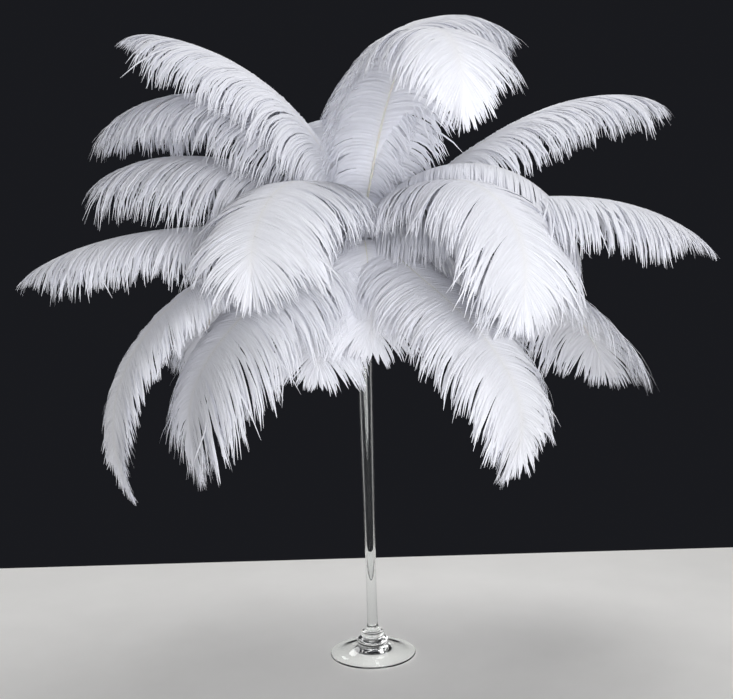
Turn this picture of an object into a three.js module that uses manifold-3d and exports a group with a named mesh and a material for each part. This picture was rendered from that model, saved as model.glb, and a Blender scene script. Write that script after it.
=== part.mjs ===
// A spray of twenty-four white ostrich plumes standing in a tall clear glass vase.
// Millimetres, +Z up. The origin is the centre of the underside of the vase's foot.
import * as THREE from "three";
import { mergeVertices } from "three/addons/utils/BufferGeometryUtils.js";
import Module from "manifold-3d";

const wasm = await Module();
wasm.setup();

// ---------------------------------------------------------------- the vase

const VASE_HEIGHT = 600;
const VASE_SIDES = 24; // facets round the vase
const WALL = 2.6; // thickness of the blown tube
const FOOT_RADIUS = 65;
const FOOT_EDGE = 2.8; // height of the foot's rounded edge
const FOOT_RISE = { radius: 36, height: 7 }; // where the foot's top steepens to the knob
const FOOT_CROWN = { radius: 21.5, height: 14.6 }; // where it meets the knob
const LOWER_COLLAR = { radius: 24, middle: 19.5, half: 5.5 };
const UPPER_COLLAR = { radius: 18, middle: 30, half: 6 };
const COLLAR_GROOVE = 15; // radius between the collars
const STEM_RADIUS = 7.9;
const STEM_FOOT = 44; // where the solid stem leaves the knob
const TUBE_START = 120; // the solid stem goes over into the tube here
const HOLLOW_BOTTOM = 115; // the point in which the hollow ends, and the height of its
const HOLLOW_FULL = 150; // full width
const TUBE_RADIUS = 7.7;
const TUBE_TAPER = 0.0095; // growth in radius for each millimetre of height
const FLARE_START = 420;
const FLARE_GROWTH = 37.7; // growth in radius from the flare's start to the rim
const FLARE_POWER = 2.6;

// ---------------------------------------------------------------- the plumes

const NECK = 70; // length over which a quill turns from its seat to its lean
const QUILL_RADIUS = 1.6;
const RACHIS_TIP_RADIUS = 0.8;
const VANE_HALF_THICKNESS = 0.9; // halfway out along the barbs
const HANG = 0.72; // share of the way to straight down that a barb turns by its tip
const TIP_HANG = 0.4; // the same for the shorter barbs at the plume's tip
const SPREAD = 0.15; // keeps the two hanging halves of a vane apart
const BASE_SWEEP = 78; // degrees between the shaft and the first barbs
const TIP_SWEEP = 3; // degrees between the shaft and the last barbs
const MIDDLE = 0.5; // share of the vane at which a barb has the plume's own sweep
const LATE = 0.85; // share of the vane from which the sweep closes to the tip's
const LATE_SWEEP = 0.8; // share of the plume's own sweep that is left there
const TIP_SHARE = 0.35; // length of the last barbs against the longest
const WIDENING = 0.45; // share of the vane over which its barbs reach full length
const FIRST_SHARE = 0.15; // length of the very first barbs against those further out
const CROWDED = 0.65; // share of the vane over which neighbours hold its barbs short
const LOCK_NOTCH = 0.86; // length of the short locks against the long ones
const QUILL_STATIONS = 4;
const VANE_STATIONS = 11;
const GAP = 0.4; // clearance left where two plumes would touch
const KEEP_RADIUS = 2.0; // round its own shaft, a plume is never cut
const TUNNEL_RADIUS = 2.6; // a vane leaves this much room round another plume's shaft

// The quills stand in the throat on three rings. A ring has the radius and height of its
// quills' feet, their rise in degrees and the clearance from the rim to the first barbs.
// A plume has, in degrees, the bearings of its foot and of its shaft, the swing of the shaft
// sideways, its lean above the rim and its fall at the tip (elevations), and the sweep of its
// middle barbs. Bend says how late it curves. Length and barb are millimetres, and base is
// the share of barb where the vane begins.
const RINGS = [
  {
    radius: 9.6, height: 520, rise: 83, clearance: 30,
    plumes: [
      { name: "plume_front_left", foot: -122, bearing: -125, swing: 7,
        length: 458, lean: 71, fall: -91, bend: 1.2, barb: 148, base: 0.8, sweep: 83 },
      { name: "plume_front_right", foot: -76, bearing: -43, swing: -11,
        length: 535, lean: 47, fall: -113, bend: 1.6, barb: 152, base: 0.75, sweep: 69 },
      { name: "plume_right_long", foot: -18, bearing: -19, swing: 1,
        length: 564, lean: 15, fall: -35, bend: 2.4, barb: 150, base: 1, sweep: 67 },
      { name: "plume_left_long", foot: 192, bearing: 185, swing: -5,
        length: 551, lean: 6, fall: -27, bend: 2.4, barb: 154, base: 1, sweep: 72 },
      { name: "plume_back_right", foot: 36, bearing: 42, swing: 0,
        length: 540, lean: 45, fall: -75, bend: 1.5, barb: 130, base: 0.5, sweep: 70 },
      { name: "plume_back", foot: 84, bearing: 84, swing: 5,
        length: 500, lean: 60, fall: -90, bend: 1.5, barb: 135, base: 0.5, sweep: 70 },
      { name: "plume_back_left", foot: 134, bearing: 125, swing: 0,
        length: 540, lean: 45, fall: -75, bend: 1.5, barb: 130, base: 0.5, sweep: 70 },
    ],
  },
  {
    radius: 16.3, height: 540, rise: 70, clearance: 12,
    plumes: [
      { name: "plume_low_right", foot: -50, bearing: -73, swing: 42,
        length: 535, lean: -22, fall: -122, bend: 3.8, barb: 122, base: 0.65, sweep: 79 },
      { name: "plume_low_left", foot: -144, bearing: -127, swing: -38,
        length: 478, lean: -28, fall: -105, bend: 3.2, barb: 172, base: 0.85, sweep: 84 },
      { name: "plume_low_left_back", foot: 180, bearing: 199, swing: 6,
        length: 613, lean: -8, fall: -113, bend: 1.8, barb: 105, base: 0.65, sweep: 84 },
      { name: "plume_low_right_back", foot: 10, bearing: 17, swing: 27,
        length: 560, lean: -12, fall: -60, bend: 1.9, barb: 175, base: 1, sweep: 70 },
      { name: "plume_low_front_left", foot: -112, bearing: -113, swing: -2,
        length: 297, lean: -24, fall: -89, bend: 1.1, barb: 110, base: 1, sweep: 67 },
      { name: "plume_low_front", foot: -84, bearing: -87, swing: 1,
        length: 280, lean: 9, fall: -84, bend: 0.9, barb: 107, base: 0.9, sweep: 66 },
      { name: "plume_back_low_left", foot: 144, bearing: 140, swing: 5,
        length: 480, lean: 5, fall: -85, bend: 1.4, barb: 125, base: 0.8, sweep: 70 },
      { name: "plume_back_low_right", foot: 55, bearing: 55, swing: -5,
        length: 500, lean: 10, fall: -80, bend: 1.3, barb: 120, base: 0.8, sweep: 70 },
      { name: "plume_back_low", foot: 98, bearing: 98, swing: 0,
        length: 440, lean: 10, fall: -75, bend: 1.3, barb: 120, base: 0.8, sweep: 70 },
    ],
  },
  {
    radius: 5.2, height: 460, rise: 90, clearance: 60,
    plumes: [
      { name: "plume_right_mid", foot: -38, bearing: -22, swing: 12,
        length: 628, lean: 72, fall: -97, bend: 1.1, barb: 111, base: 0.5, sweep: 79 },
      { name: "plume_crown", foot: 277, bearing: -61, swing: -10,
        length: 691, lean: 68, fall: -102, bend: 2.9, barb: 122, base: 0.65, sweep: 68 },
      { name: "plume_crown_right", foot: 52, bearing: 38, swing: 2,
        length: 692, lean: 104, fall: -37, bend: 1.6, barb: 146, base: 0.5, sweep: 80 },
      { name: "plume_left_high", foot: 232, bearing: 170, swing: -4,
        length: 628, lean: 78, fall: 9, bend: 1.2, barb: 152, base: 0.95, sweep: 65 },
      { name: "plume_right_high", foot: 7, bearing: 6, swing: 20,
        length: 690, lean: 37, fall: -15, bend: 2.6, barb: 139, base: 0.65, sweep: 65 },
      { name: "plume_left_mid_back", foot: 187, bearing: 165, swing: -1,
        length: 573, lean: 45, fall: -20, bend: 1.4, barb: 197, base: 0.95, sweep: 79 },
      { name: "plume_left_high_back", foot: 142, bearing: 159, swing: -4,
        length: 670, lean: 73, fall: -38, bend: 1.4, barb: 173, base: 0.65, sweep: 61 },
      { name: "plume_crown_left", foot: 97, bearing: 99, swing: 1,
        length: 490, lean: 87, fall: -57, bend: 2, barb: 119, base: 0.5, sweep: 71 },
    ],
  },
];

// ---------------------------------------------------------------- finishes

const clearGlass = new THREE.MeshStandardMaterial({
  color: 0xeef2f2, roughness: 0.03, metalness: 0, transparent: true, opacity: 0.35,
});
const whitePlume = new THREE.MeshStandardMaterial({ color: 0xf1f2f5, roughness: 0.9, metalness: 0 });

// ---------------------------------------------------------------- solids and cuts

const DOWN = new THREE.Vector3(0, 0, -1);
const UP = new THREE.Vector3(0, 0, 1);
const rad = THREE.MathUtils.degToRad;
const mix = THREE.MathUtils.lerp;
const ease = (x) => THREE.MathUtils.smoothstep(x, 0, 1);

// A geometry's shared corners are merged, so that it is one closed surface.
function closed(geometry) {
  geometry.deleteAttribute("normal");
  geometry.deleteAttribute("uv");
  return mergeVertices(geometry, 1e-3);
}

function toSolid(geometry, matrix = new THREE.Matrix4()) {
  const placed = closed(geometry.clone().applyMatrix4(matrix));
  return new wasm.Manifold(new wasm.Mesh({
    numProp: 3,
    vertProperties: new Float32Array(placed.attributes.position.array),
    triVerts: new Uint32Array(placed.index.array),
  }));
}

function toGeometry(solid, matrix) {
  const mesh = solid.getMesh();
  const geometry = new THREE.BufferGeometry();
  geometry.setAttribute("position", new THREE.BufferAttribute(mesh.vertProperties, 3));
  geometry.setIndex(new THREE.BufferAttribute(mesh.triVerts, 1));
  return dropSlivers(mergeVertices(geometry.applyMatrix4(matrix), 1e-3));
}

// Triangles that lost an edge when close corners were merged are left out.
function dropSlivers(geometry) {
  const corners = geometry.index.array;
  const kept = [];
  for (let i = 0; i < corners.length; i += 3) {
    const [a, b, c] = corners.slice(i, i + 3);
    if (a !== b && b !== c && c !== a) kept.push(a, b, c);
  }
  geometry.setIndex(kept);
  return geometry;
}

// Joins rings of points, each with the same number of corners, and closes both ends. Every
// four-cornered patch is split along the diagonal that its mirror image and the patch on
// the other face of the vane have too, so that the vane keeps its thickness.
function loft(rings, startPoint, endPoint) {
  const count = rings[0].length;
  const points = [...rings.flat(), startPoint, endPoint];
  const start = points.length - 2;
  const end = points.length - 1;
  const faces = [];
  for (let k = 0; k < count; k++) {
    const next = (k + 1) % count;
    faces.push(start, k, next);
    const last = (rings.length - 1) * count;
    faces.push(end, last + next, last + k);
    for (let i = 0; i < rings.length - 1; i++) {
      const low = i * count;
      const high = low + count;
      if (k % (count / 2) < 2) {
        faces.push(low + k, high + k, low + next, low + next, high + k, high + next);
      } else {
        faces.push(low + k, high + next, low + next, low + k, high + k, high + next);
      }
    }
  }
  const geometry = new THREE.BufferGeometry().setFromPoints(points);
  geometry.setIndex(faces);
  return geometry;
}

// ---------------------------------------------------------------- vase

function tubeRadius(height) {
  const flare = Math.max(0, (height - FLARE_START) / (VASE_HEIGHT - FLARE_START));
  return TUBE_RADIUS + TUBE_TAPER * (height - TUBE_START) + FLARE_GROWTH * flare ** FLARE_POWER;
}

// Heights up the flare, closer together where it opens.
const FLARE_HEIGHTS = [FLARE_START, 470, 510, 545, 575];

function collarArc({ radius, middle, half }) {
  const points = [];
  for (const degrees of [-55, -20, 20, 55]) {
    const r = radius - half * (1 - Math.cos(rad(degrees)));
    points.push([r, middle + half * Math.sin(rad(degrees))]);
  }
  return points;
}

function outerProfile() {
  return [
    [0, 0],
    [FOOT_RADIUS - 1.5, 0],
    [FOOT_RADIUS, 1.4],
    [FOOT_RADIUS - 1.2, FOOT_EDGE],
    [FOOT_RISE.radius, FOOT_RISE.height],
    [FOOT_CROWN.radius, FOOT_CROWN.height],
    ...collarArc(LOWER_COLLAR),
    [COLLAR_GROOVE, (LOWER_COLLAR.middle + UPPER_COLLAR.middle) / 2],
    ...collarArc(UPPER_COLLAR),
    [STEM_RADIUS + 2.2, STEM_FOOT - 5.5],
    [STEM_RADIUS + 0.5, STEM_FOOT],
    [STEM_RADIUS, STEM_FOOT + 14],
    ...[TUBE_START, ...FLARE_HEIGHTS].map((height) => [tubeRadius(height), height]),
    [tubeRadius(VASE_HEIGHT), VASE_HEIGHT - 1],
  ];
}

function innerProfile() {
  const inside = FLARE_HEIGHTS.map((height) => [tubeRadius(height) - WALL, height]);
  const hollow = tubeRadius(HOLLOW_FULL) - WALL;
  const tapered = [1, 0.6, 0.25, 0.05, 0].map((share) => (
    [hollow * Math.sqrt(share), mix(HOLLOW_BOTTOM, HOLLOW_FULL, share)]));
  return [
    [tubeRadius(VASE_HEIGHT) - WALL + 0.8, VASE_HEIGHT],
    [tubeRadius(VASE_HEIGHT) - WALL, VASE_HEIGHT - 1.2],
    ...inside.reverse(),
    ...tapered,
  ];
}

function revolve(profile) {
  const points = profile.map(([r, height]) => new THREE.Vector2(r, height));
  return new THREE.LatheGeometry(points, VASE_SIDES).rotateX(Math.PI / 2);
}

function vaseGeometry() {
  const lip = [tubeRadius(VASE_HEIGHT) - 0.8, VASE_HEIGHT];
  return closed(revolve([...outerProfile(), lip, ...innerProfile()]));
}

// The vase with its hollow filled and grown by the gap: vanes are kept out of this space.
function vaseEnvelope() {
  const grown = outerProfile().slice(1).map(([r, height]) => [r + 2 * GAP, height]);
  const top = VASE_HEIGHT + 2 * GAP;
  const rim = tubeRadius(VASE_HEIGHT) + 2 * GAP;
  return toSolid(revolve([[0, -1], [FOOT_RADIUS, -1], ...grown, [rim, top], [0, top]]));
}

// ---------------------------------------------------------------- plume

// The shaft is worked out in the upright plane of its bearing, from its foot at the origin.
// Each step has its place, its direction and the way that the vane's outer face looks.
function shaftSteps(plume, ring) {
  const seat = VASE_HEIGHT - ring.height;
  const steps = [];
  const place = new THREE.Vector3();
  const stepLength = 2.5;
  for (let along = 0; along <= plume.length; along += stepLength) {
    const free = Math.max(0, (along - seat) / (plume.length - seat));
    const turned = ease(THREE.MathUtils.clamp((along - seat) / NECK, 0, 1));
    const leaning = mix(plume.lean, plume.fall, free ** plume.bend);
    const elevation = rad(mix(ring.rise, leaning, turned));
    const side = rad(plume.swing * free);
    const level = new THREE.Vector3(Math.cos(side), Math.sin(side), 0);
    const forward = level.clone().multiplyScalar(Math.cos(elevation));
    forward.addScaledVector(UP, Math.sin(elevation));
    const face = level.clone().multiplyScalar(-Math.sin(elevation));
    face.addScaledVector(UP, Math.cos(elevation));
    steps.push({ along, place: place.clone(), forward, face });
    place.addScaledVector(forward, stepLength);
  }
  return steps;
}

// The stations along a shaft at which its solid has a ring of corners, with the share of
// the vane below each and its locks' lengths to the right and left.
function stationLengths(plume, ring) {
  const seat = VASE_HEIGHT - ring.height;
  const vaneStart = seat + ring.clearance;
  const bare = [0, seat * 0.5, seat, vaneStart - 3];
  const lengths = bare.map((along) => ({ along, vane: -1, right: 1, left: 1 }));
  for (let k = 0; k < VANE_STATIONS; k++) {
    const vane = k / (VANE_STATIONS - 1);
    const right = k % 2 ? LOCK_NOTCH : 1;
    const left = k % 2 ? 1 : LOCK_NOTCH;
    lengths.push({ along: mix(vaneStart, plume.length, vane), vane, right, left });
  }
  return lengths;
}

function stepAt(steps, along) {
  return steps.reduce((best, step) => (
    Math.abs(step.along - along) < Math.abs(best.along - along) ? step : best));
}

function barbLength(plume, vane) {
  const widening = mix(plume.base, 1, ease(Math.min(1, vane / WIDENING)));
  const starting = mix(FIRST_SHARE, 1, ease(Math.min(1, vane / CROWDED)));
  const ending = mix(1, TIP_SHARE, Math.max(0, (vane - 0.8) / 0.2));
  return plume.barb * widening * starting * ending;
}

function barbSweep(plume, vane) {
  const late = plume.sweep * LATE_SWEEP;
  if (vane < MIDDLE) return rad(mix(BASE_SWEEP, plume.sweep, vane / MIDDLE));
  if (vane < LATE) return rad(mix(plume.sweep, late, (vane - MIDDLE) / (LATE - MIDDLE)));
  return rad(mix(late, TIP_SWEEP, (vane - LATE) / (1 - LATE)));
}

// A barb is a circular arc that leaves the shaft at its sweep and turns toward the ground.
// Side is 1 or -1, or 0 for the last one, straight ahead. Returns its point and face normal.
function barbPoint(step, side, sweep, length, hang, share) {
  const sideways = new THREE.Vector3().crossVectors(step.forward, step.face);
  const start = step.forward.clone().multiplyScalar(Math.cos(sweep));
  start.addScaledVector(sideways, side * Math.sin(sweep));
  const ground = DOWN.clone().addScaledVector(sideways, SPREAD * side).normalize();
  const turn = Math.max(hang * start.angleTo(ground), 1e-3);
  const across = ground.clone().addScaledVector(start, -ground.dot(start)).normalize();
  const angle = turn * share;
  const reach = (length * share) / angle;
  const point = step.place.clone().addScaledVector(start, reach * Math.sin(angle));
  point.addScaledVector(across, reach * (1 - Math.cos(angle)));
  const direction = start.multiplyScalar(Math.cos(angle)).addScaledVector(across, Math.sin(angle));
  const normal = new THREE.Vector3().crossVectors(direction, step.forward);
  normal.multiplyScalar(side).normalize();
  return { point, normal };
}

function offset({ point, normal }, distance) {
  return point.clone().addScaledVector(normal, distance);
}

function shaftRadius(plume, along) {
  return mix(QUILL_RADIUS, RACHIS_TIP_RADIUS, along / plume.length);
}

const OCTAGON = [0, 45, 90, 135, 180, 225, 270, 315];
const HEXAGON = [0, 60, 120, 180, 240, 300];
const FLAT_DECAGON = [8, 45, 90, 135, 172, 188, 225, 270, 315, 352];

// A ring of corners round the shaft, at the given angles from the right edge of the vane.
function circleRing(step, radius, angles) {
  const sideways = new THREE.Vector3().crossVectors(step.forward, step.face);
  return angles.map((degrees) => (
    step.place.clone()
      .addScaledVector(sideways, radius * Math.cos(rad(degrees)))
      .addScaledVector(step.face, radius * Math.sin(rad(degrees)))));
}

// Eight corners across the vane: its two edges, and the middle of each half and the shaft
// on both faces. Grown by a margin it also has square edges, for cutting its neighbours.
function vaneRing(plume, step, { vane, right, left }, margin) {
  const sweep = barbSweep(plume, vane);
  const hang = mix(HANG, TIP_HANG, Math.max(0, (vane - 0.8) / 0.2));
  const half = shaftRadius(plume, step.along) + margin;
  const middle = VANE_HALF_THICKNESS + margin;
  const full = barbLength(plume, vane);
  const corner = (side, length, share) => barbPoint(step, side, sweep, length, hang, share);
  const shaft = { point: step.place, normal: step.face };
  const rightMiddle = corner(1, full * right, 0.5);
  const leftMiddle = corner(-1, full * left, 0.5);
  const rightEdge = corner(1, full * right + 4 * margin, 1);
  const leftEdge = corner(-1, full * left + 4 * margin, 1);
  const outer = [offset(rightMiddle, middle), offset(shaft, half), offset(leftMiddle, middle)];
  const inner = [offset(leftMiddle, -middle), offset(shaft, -half), offset(rightMiddle, -middle)];
  if (margin === 0) return [rightEdge.point, ...outer, leftEdge.point, ...inner];
  return [
    offset(rightEdge, margin), ...outer, offset(leftEdge, margin),
    offset(leftEdge, -margin), ...inner, offset(rightEdge, -margin),
  ];
}

// The whole plume: quill, shaft and both halves of the vane, with long and short locks.
function plumeGeometry(plume, ring, margin = 0) {
  const steps = shaftSteps(plume, ring);
  const stations = stationLengths(plume, ring);
  const shown = margin === 0 ? stations : stations.slice(QUILL_STATIONS - 1);
  const rings = shown.map((station) => {
    const step = stepAt(steps, station.along);
    if (station.vane >= 0) return vaneRing(plume, step, station, margin);
    const radius = shaftRadius(plume, station.along) + margin;
    return circleRing(step, radius, margin === 0 ? OCTAGON : FLAT_DECAGON);
  });
  const first = stepAt(steps, shown[0].along);
  const foot = first.place.clone().addScaledVector(first.forward, -0.8 - margin);
  const last = steps[steps.length - 1];
  const tipLength = plume.barb * TIP_SHARE + margin;
  const tip = barbPoint(last, 0, 0, tipLength, TIP_HANG, 1);
  return loft(rings, foot, tip.point);
}

// A round rod along the shaft, used to keep a plume whole or to leave room for it.
function rodGeometry(plume, ring, extra, vaneRadius) {
  const steps = shaftSteps(plume, ring);
  const rings = stationLengths(plume, ring).map(({ along, vane }) => {
    const radius = vane < 0.02 ? QUILL_RADIUS + extra : vaneRadius;
    return circleRing(stepAt(steps, along), radius, HEXAGON);
  });
  const last = steps[steps.length - 1];
  const foot = steps[0].place.clone().addScaledVector(steps[0].forward, -1.5);
  return loft(rings, foot, last.place.clone().addScaledVector(last.forward, 2));
}

function seatMatrix(plume, ring) {
  const foot = new THREE.Vector3(ring.radius, 0, ring.height).applyAxisAngle(UP, rad(plume.foot));
  const turn = new THREE.Quaternion().setFromAxisAngle(UP, rad(plume.bearing));
  return new THREE.Matrix4().compose(foot, turn, new THREE.Vector3(1, 1, 1));
}

function largestPart(solid) {
  return solid.decompose().reduce((best, part) => (part.volume() > best.volume() ? part : best));
}

// Plumes earlier in the list stay whole, and later ones give way where vanes would cross.
function trimmedPlumes() {
  const envelope = vaseEnvelope();
  const entries = RINGS.flatMap((ring) => ring.plumes.map((plume) => {
    const matrix = seatMatrix(plume, ring);
    return {
      plume,
      matrix,
      body: toSolid(plumeGeometry(plume, ring), matrix),
      cutter: toSolid(plumeGeometry(plume, ring, GAP), matrix),
      kept: toSolid(rodGeometry(plume, ring, 0.2, KEEP_RADIUS), matrix),
      tunnel: toSolid(rodGeometry(plume, ring, 0.45, TUNNEL_RADIUS), matrix),
    };
  }));
  return entries.map((entry, index) => {
    let solid = entry.body.subtract(envelope.subtract(entry.kept));
    entries.forEach((other, order) => {
      if (other === entry) return;
      solid = solid.subtract(other.tunnel);
      if (order < index) solid = solid.subtract(other.cutter.subtract(entry.kept));
    });
    return { ...entry, solid: largestPart(solid) };
  });
}

// ---------------------------------------------------------------- the assembly

function makeVase() {
  const vase = new THREE.Mesh(vaseGeometry(), clearGlass);
  vase.name = "vase";
  return vase;
}

// Each plume is turned to its bearing and placed at its foot in the vase's throat.
function makePlume({ plume, matrix, solid }) {
  const mesh = new THREE.Mesh(toGeometry(solid, matrix.clone().invert()), whitePlume);
  mesh.name = plume.name;
  matrix.decompose(mesh.position, mesh.quaternion, mesh.scale);
  return mesh;
}

const spray = new THREE.Group();
spray.add(makeVase());
for (const entry of trimmedPlumes()) spray.add(makePlume(entry));

export default spray;
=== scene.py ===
"""White ostrich plumes in a tall clear glass vase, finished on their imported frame."""
import math

import bpy
import numpy as np
from bpy.props import (
    EnumProperty,
    FloatProperty,
    FloatVectorProperty,
    IntProperty,
    PointerProperty,
)
from mathutils import Matrix, Vector


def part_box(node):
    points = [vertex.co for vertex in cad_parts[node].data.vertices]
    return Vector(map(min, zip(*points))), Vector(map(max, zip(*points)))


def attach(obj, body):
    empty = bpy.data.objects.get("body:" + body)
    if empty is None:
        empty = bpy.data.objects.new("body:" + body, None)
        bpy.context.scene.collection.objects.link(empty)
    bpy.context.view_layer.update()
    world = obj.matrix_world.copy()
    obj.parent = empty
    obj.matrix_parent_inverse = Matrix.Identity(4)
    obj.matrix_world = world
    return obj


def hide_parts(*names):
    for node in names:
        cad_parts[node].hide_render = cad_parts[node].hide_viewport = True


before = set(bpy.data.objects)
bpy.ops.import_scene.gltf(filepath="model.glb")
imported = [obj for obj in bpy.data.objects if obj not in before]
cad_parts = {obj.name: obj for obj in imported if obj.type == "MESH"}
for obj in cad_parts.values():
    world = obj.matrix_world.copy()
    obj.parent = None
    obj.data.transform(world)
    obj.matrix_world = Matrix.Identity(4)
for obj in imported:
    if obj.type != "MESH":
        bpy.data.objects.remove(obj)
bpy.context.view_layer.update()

bl_info = {
    "name": "Ostrich Plume Spray",
    "version": (1, 0, 0),
    "blender": (4, 5, 0),
    "location": "View3D > Sidebar > Plume Spray",
    "description": "Builds a glass trumpet vase and the ostrich plumes that stand in it",
    "category": "Object",
}

MM = 0.001
VASE_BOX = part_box("vase")
BODY = "root"

CAMERA_PLACE = (0.003, -1.755, 0.709)
CAMERA_DIP = 7.83  # degrees below level
CAMERA_ROLL = -1.65  # degrees about its own axis
SPRAY_MIDDLE = (0, 0, 0.62)  # where the soft lights aim

# ---------------------------------------------------------------- the plumes' places

# A ring of quills: radius and height of their feet in millimetres, and their rise in degrees.
# A plume: bearing of its foot and of its shaft, swing, length, lean, fall, bend, longest
# barb, base share and sweep. Lengths are millimetres and the rest are degrees or shares.
RINGS = {
    "MIDDLE": {
        "seat": (9.6, 520, 83),
        "plumes": {
            "plume_front_left": (-122, -125, 7, 458, 71, -91, 1.2, 148, 0.8, 83),
            "plume_front_right": (-76, -43, -11, 535, 47, -113, 1.6, 152, 0.75, 69),
            "plume_right_long": (-18, -19, 1, 564, 15, -35, 2.4, 150, 1, 67),
            "plume_left_long": (192, 185, -5, 551, 6, -27, 2.4, 154, 1, 72),
            "plume_back_right": (36, 42, 0, 540, 45, -75, 1.5, 130, 0.5, 70),
            "plume_back": (84, 84, 5, 500, 60, -90, 1.5, 135, 0.5, 70),
            "plume_back_left": (134, 125, 0, 540, 45, -75, 1.5, 130, 0.5, 70),
        },
    },
    "LOWER": {
        "seat": (16.3, 540, 70),
        "plumes": {
            "plume_low_right": (-50, -73, 42, 535, -22, -122, 3.8, 122, 0.65, 79),
            "plume_low_left": (-144, -127, -38, 478, -28, -105, 3.2, 172, 0.85, 84),
            "plume_low_left_back": (180, 199, 6, 613, -8, -113, 1.8, 105, 0.65, 84),
            "plume_low_right_back": (10, 17, 27, 560, -12, -60, 1.9, 175, 1, 70),
            "plume_low_front_left": (-112, -113, -2, 297, -24, -89, 1.1, 110, 1, 67),
            "plume_low_front": (-84, -87, 1, 280, 9, -84, 0.9, 107, 0.9, 66),
            "plume_back_low_left": (144, 140, 5, 480, 5, -85, 1.4, 125, 0.8, 70),
            "plume_back_low_right": (55, 55, -5, 500, 10, -80, 1.3, 120, 0.8, 70),
            "plume_back_low": (98, 98, 0, 440, 10, -75, 1.3, 120, 0.8, 70),
        },
    },
    "UPPER": {
        "seat": (5.2, 460, 90),
        "plumes": {
            "plume_right_mid": (-38, -22, 12, 628, 72, -97, 1.1, 111, 0.5, 79),
            "plume_crown": (277, -61, -10, 691, 68, -102, 2.9, 122, 0.65, 68),
            "plume_crown_right": (52, 38, 2, 692, 104, -37, 1.6, 146, 0.5, 80),
            "plume_left_high": (232, 170, -4, 628, 78, 9, 1.2, 152, 0.95, 65),
            "plume_right_high": (7, 6, 20, 690, 37, -15, 2.6, 139, 0.65, 65),
            "plume_left_mid_back": (187, 165, -1, 573, 45, -20, 1.4, 197, 0.95, 79),
            "plume_left_high_back": (142, 159, -4, 670, 73, -38, 1.4, 173, 0.65, 61),
            "plume_crown_left": (97, 99, 1, 490, 87, -57, 2, 119, 0.5, 71),
        },
    },
}
PLUME_FIELDS = (
    "foot", "bearing", "swing", "length", "lean", "fall", "bend", "barb", "base", "sweep",
)

NECK = 70 * MM  # length over which a quill turns from its seat to its lean
SHAFT_STEP = 2.5 * MM
QUILL_RADIUS = 1.6 * MM
SHAFT_RADIUS = 2.1 * MM  # at the first barbs
SHAFT_TIP_RADIUS = 0.6 * MM
FIRST_BARB = 22 * MM  # from the vase's rim to the first barbs
HANG = 0.72  # share of the way to straight down that a barb turns by its tip
TIP_HANG = 0.4  # the same for the shorter barbs at the plume's tip
SPREAD = 0.15  # keeps the two hanging halves of a vane apart
BASE_SWEEP = 78  # degrees between the shaft and the first barbs
TIP_SWEEP = 3  # degrees between the shaft and the last barbs
TIP_SHARE = 0.35  # length of the last barbs against the longest
WIDENING = 0.45  # share of the vane over which its barbs reach full length
BARB_POINTS = 8  # points along the middle of a barb
FINE = 4  # steps in which the curve between two of them is added up
FINE_STEPS = FINE * (BARB_POINTS - 1)
TURN_POWER = 1.5  # a barb is straighter near the shaft and turns most toward its end
LATE_TURN = 1.25  # end turn that gives it the same reach as an even arc
HANG_CHANGE = 0.8  # share of the vane where the barbs begin to shorten and to hang less
STRAY_SHARE = 0.07  # barbs that have left their lock

# How far barbs, their locks and bunches of locks vary (standard deviations): length as a
# share of the barb's, turn in radians, hang as a share of the way to straight down.
LOCK_VARIES = {"long": 0.05, "turn": 0.012, "hang": 0.02}
BUNCH_VARIES = {"long": 0.04, "turn": 0.015}
BARB_VARIES = {"long": 0.03, "turn": 0.012}
BUNCH_WIDTH = 2.6  # in lock widths
BUNCH_PULL = 0.2  # how far the locks of a bunch close up at their tips
LAYER_DEPTH = 0.35 * MM  # how far a barb lies above or below its neighbours

# ---------------------------------------------------------------- settings


class SprayVaseSizes(bpy.types.PropertyGroup):
    """Sizes of the glass vase."""

    height: FloatProperty(
        name="Height", description="From the table to the rim",
        default=VASE_BOX[1].z, min=0.2, max=1.2, unit="LENGTH",
    )
    foot_radius: FloatProperty(
        name="Foot Radius", description="Radius of the round foot",
        default=VASE_BOX[1].x, min=0.03, max=0.15, unit="LENGTH",
    )
    dish: FloatProperty(
        name="Dish", description="Height of the shallow hollow under the foot",
        default=9.5 * MM, min=0, max=12 * MM, unit="LENGTH",
    )
    wall: FloatProperty(
        name="Wall", description="Thickness of the blown tube",
        default=2.6 * MM, min=1 * MM, max=5 * MM, unit="LENGTH",
    )
    tube_radius: FloatProperty(
        name="Tube Radius", description="Outer radius of the tube where the hollow begins",
        default=7.7 * MM, min=5 * MM, max=20 * MM, unit="LENGTH",
    )
    flare: FloatProperty(
        name="Flare", description="Growth in radius from the tube to the rim",
        default=37.7 * MM, min=0, max=80 * MM, unit="LENGTH",
    )
    sides: IntProperty(
        name="Sides", description="Steps round the vase", default=96, min=24, max=192,
    )
    tint: FloatVectorProperty(
        name="Tint", description="Colour of the clear glass", subtype="COLOR",
        size=3, min=0, max=1, default=(0.97, 0.985, 0.98),
    )


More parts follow.
